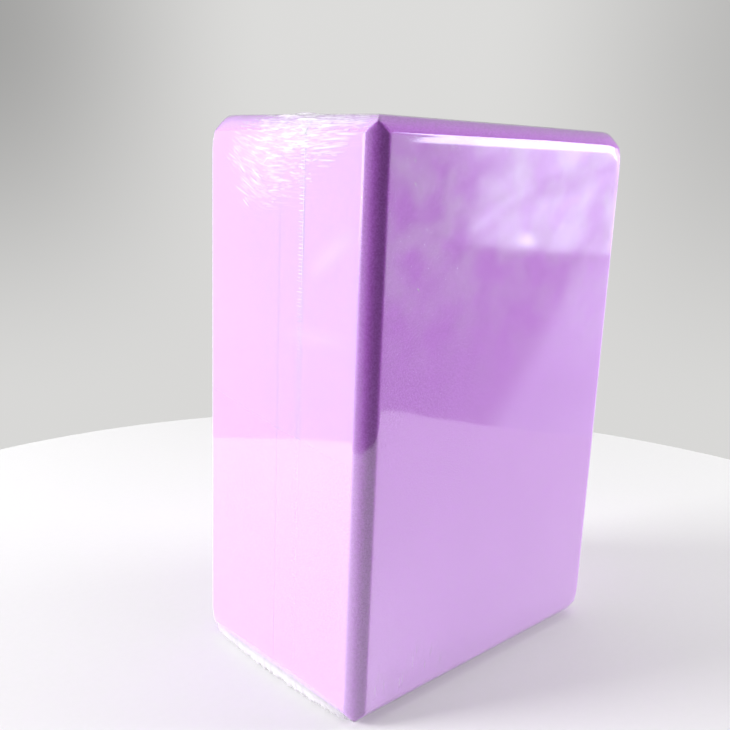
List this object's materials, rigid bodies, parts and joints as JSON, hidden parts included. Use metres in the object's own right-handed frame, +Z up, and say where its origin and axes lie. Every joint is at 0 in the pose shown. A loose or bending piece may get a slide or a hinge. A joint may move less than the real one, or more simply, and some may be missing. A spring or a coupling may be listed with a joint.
{
  "type": "yoga block",
  "caption": "Upright foam yoga block of glued boards with soft bevelled edges, wrapped in clear shrink film that a trim seal closes and that gathers in pleats at the short edges.",
  "frame": {"origin": "middle of the lower small end, on the outside of the film, where the block stands", "axes": "+Z up along the block's length, +X across the wide faces to the right seen from the front, +Y through the thickness from the front wide face to the rear one"},
  "size_m": [0.1542, 0.1024, 0.2298],
  "materials": {
    "foam": "closed-cell EVA foam, purple, matte with a fine grain",
    "glue": "set contact glue, dull",
    "film": "clear shrink film, glossy",
    "seal": "melted film, milky"
  },
  "bodies": {
    "root": {"foam_layer_front": "foam", "foam_layer_rear": "foam", "adhesive_layer": "glue", "film_wrap": "film", "top_seal": "seal", "side_seal": "seal", "bottom_seal": "seal"}
  },
  "joints": []
}
